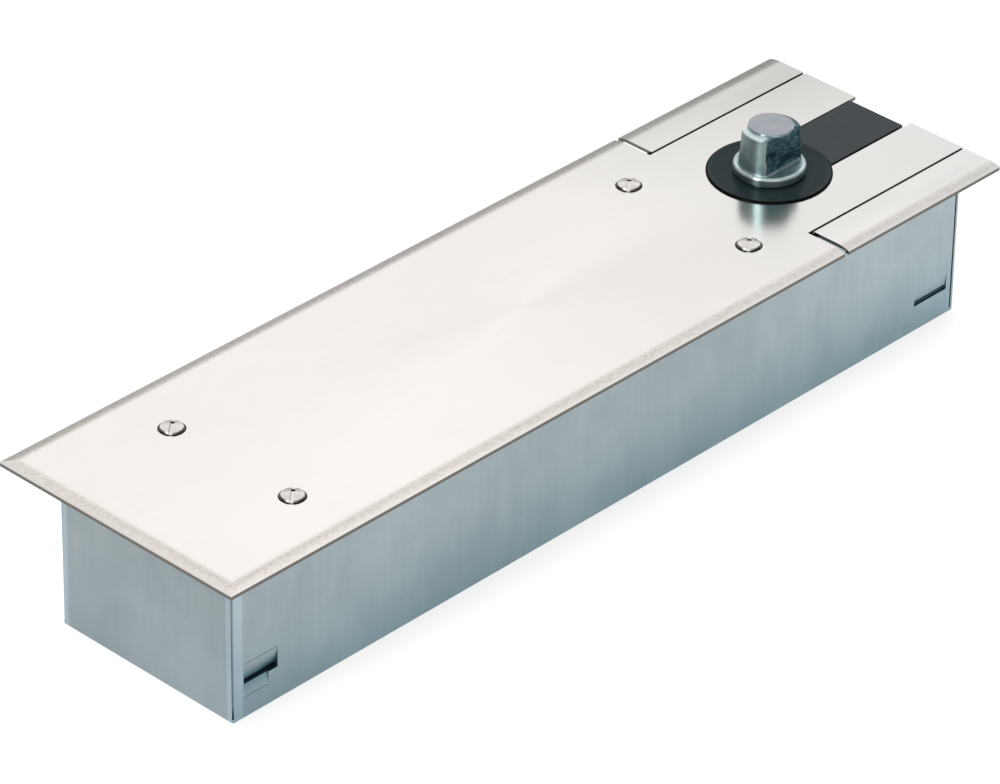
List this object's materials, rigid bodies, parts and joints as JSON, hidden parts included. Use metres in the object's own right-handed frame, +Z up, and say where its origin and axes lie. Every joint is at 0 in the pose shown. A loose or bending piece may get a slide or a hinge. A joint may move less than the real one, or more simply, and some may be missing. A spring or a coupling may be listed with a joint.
{
  "type": "floor spring door closer",
  "caption": "Floor spring door closer: flush stainless cover plate over a galvanised floor box, flat-sided pivot spindle, cam and roller carriage, spring and damping piston inside.",
  "frame": {"origin": "on the spindle axis, at the level of the cover's top face, which is the finished floor", "axes": "+X along the box towards the spindle end, +Y across the box, +Z up along the spindle"},
  "size_m": [0.3588, 0.1036, 0.0796],
  "materials": {
    "stainless_cover": "satin, finely brushed",
    "galvanised_sheet": "zinc-coated sheet, satin",
    "zinc_plated_spindle": "bright zinc plating, turned",
    "black_polymer": "matte, moulded",
    "zinc_fixings": "zinc plated, semi-bright",
    "cast_body": "cast, painted grey",
    "machined_steel": "ground",
    "hardened_steel": "ground and polished",
    "spring_steel": "oil-blackened wire",
    "bronze": "turned",
    "seal_rubber": "matte",
    "seal_ptfe": "waxy",
    "gasket_fibre": "matte"
  },
  "bodies": {
    "floor_box": {"cement_box": "galvanised_sheet", "cover_plate": "stainless_cover", "side_strip_front": "stainless_cover", "side_strip_back": "stainless_cover", "strip_rivets": "zinc_fixings", "cover_screws": "stainless_cover", "cover_posts": "zinc_fixings", "slot_insert": "black_polymer", "spindle_ring": "black_polymer", "body_casting": "cast_body", "chamber_cap": "cast_body", "cap_gasket": "gasket_fibre", "cap_screws": "zinc_fixings", "filler_plug": "bronze", "upper_bearing": "hardened_steel", "lower_bearing": "hardened_steel", "shaft_seal": "seal_rubber", "thrust_washer": "bronze", "thrust_pad": "bronze", "rod_guide_bush": "bronze", "spring_seat": "machined_steel", "spring_outer": "spring_steel", "spring_inner": "spring_steel", "end_plug": "machined_steel", "end_plug_oring": "seal_rubber", "gallery_plugs": "machined_steel", "levelling_screws": "zinc_fixings", "weld_studs": "zinc_fixings", "hold_down_nuts": "zinc_fixings", "hold_down_washers": "zinc_fixings", "adjuster_bracket": "galvanised_sheet", "adjuster_screw": "zinc_fixings", "adjuster_nut": "zinc_fixings"},
    "spindle": {"spindle": "zinc_plated_spindle", "spindle_circlip": "spring_steel", "cam_disc": "hardened_steel", "cam_key": "machined_steel"},
    "carriage": {"carriage_plate_upper": "machined_steel", "carriage_plate_lower": "machined_steel", "roller_pins": "hardened_steel", "rod_pin": "hardened_steel", "pull_rod": "hardened_steel", "piston": "machined_steel", "piston_ring": "seal_ptfe", "piston_nut": "zinc_fixings", "check_valve_retainer": "bronze"},
    "opening_roller": {"opening_roller": "hardened_steel"},
    "return_roller": {"return_roller": "hardened_steel"},
    "check_valve_ball": {"check_valve_ball": "hardened_steel"},
    "closing_valve": {"closing_valve": "bronze", "closing_valve_oring": "seal_rubber"},
    "latching_valve": {"latching_valve": "bronze", "latching_valve_oring": "seal_rubber"}
  },
  "joints": [
    {"name": "spindle_turn", "type": "hinge", "parent": "floor_box", "child": "spindle", "pos_m": [0, 0, -0.031], "axis": [0, 0, 1], "range_deg": [0, 130], "stiffness_Nm_per_rad": 0.6, "springref_deg": -22.92},
    {"name": "carriage_slide", "type": "slide", "parent": "floor_box", "child": "carriage", "axis": [1, 0, 0], "range_m": [0, 0.01], "deforming": ["spring_outer", "spring_inner"]},
    {"name": "opening_roller_spin", "type": "hinge", "parent": "carriage", "child": "opening_roller", "pos_m": [0.0205, 0, -0.031], "axis": [0, 0, 1], "range_deg": [-345, 0]},
    {"name": "return_roller_spin", "type": "hinge", "parent": "carriage", "child": "return_roller", "pos_m": [-0.03435, 0, -0.031], "axis": [0, 0, 1], "range_deg": [-416, 0]},
    {"name": "check_ball_lift", "type": "slide", "parent": "carriage", "child": "check_valve_ball", "axis": [-1, 0, 0], "range_m": [0, 0.0015]},
    {"name": "closing_valve_turn", "type": "hinge", "parent": "floor_box", "child": "closing_valve", "pos_m": [-0.078, 0.0105, -0.008], "axis": [0, 0, 1], "range_deg": [-360, 360]},
    {"name": "latching_valve_turn", "type": "hinge", "parent": "floor_box", "child": "latching_valve", "pos_m": [-0.078, -0.0105, -0.008], "axis": [0, 0, 1], "range_deg": [-360, 360]}
  ],
  "couplings": [
    {"joint": "carriage_slide", "follows": "spindle_turn", "m_per_rad": 0.004407},
    {"joint": "opening_roller_spin", "follows": "spindle_turn", "ratio": -2.64},
    {"joint": "return_roller_spin", "follows": "spindle_turn", "ratio": -3.19}
  ]
}
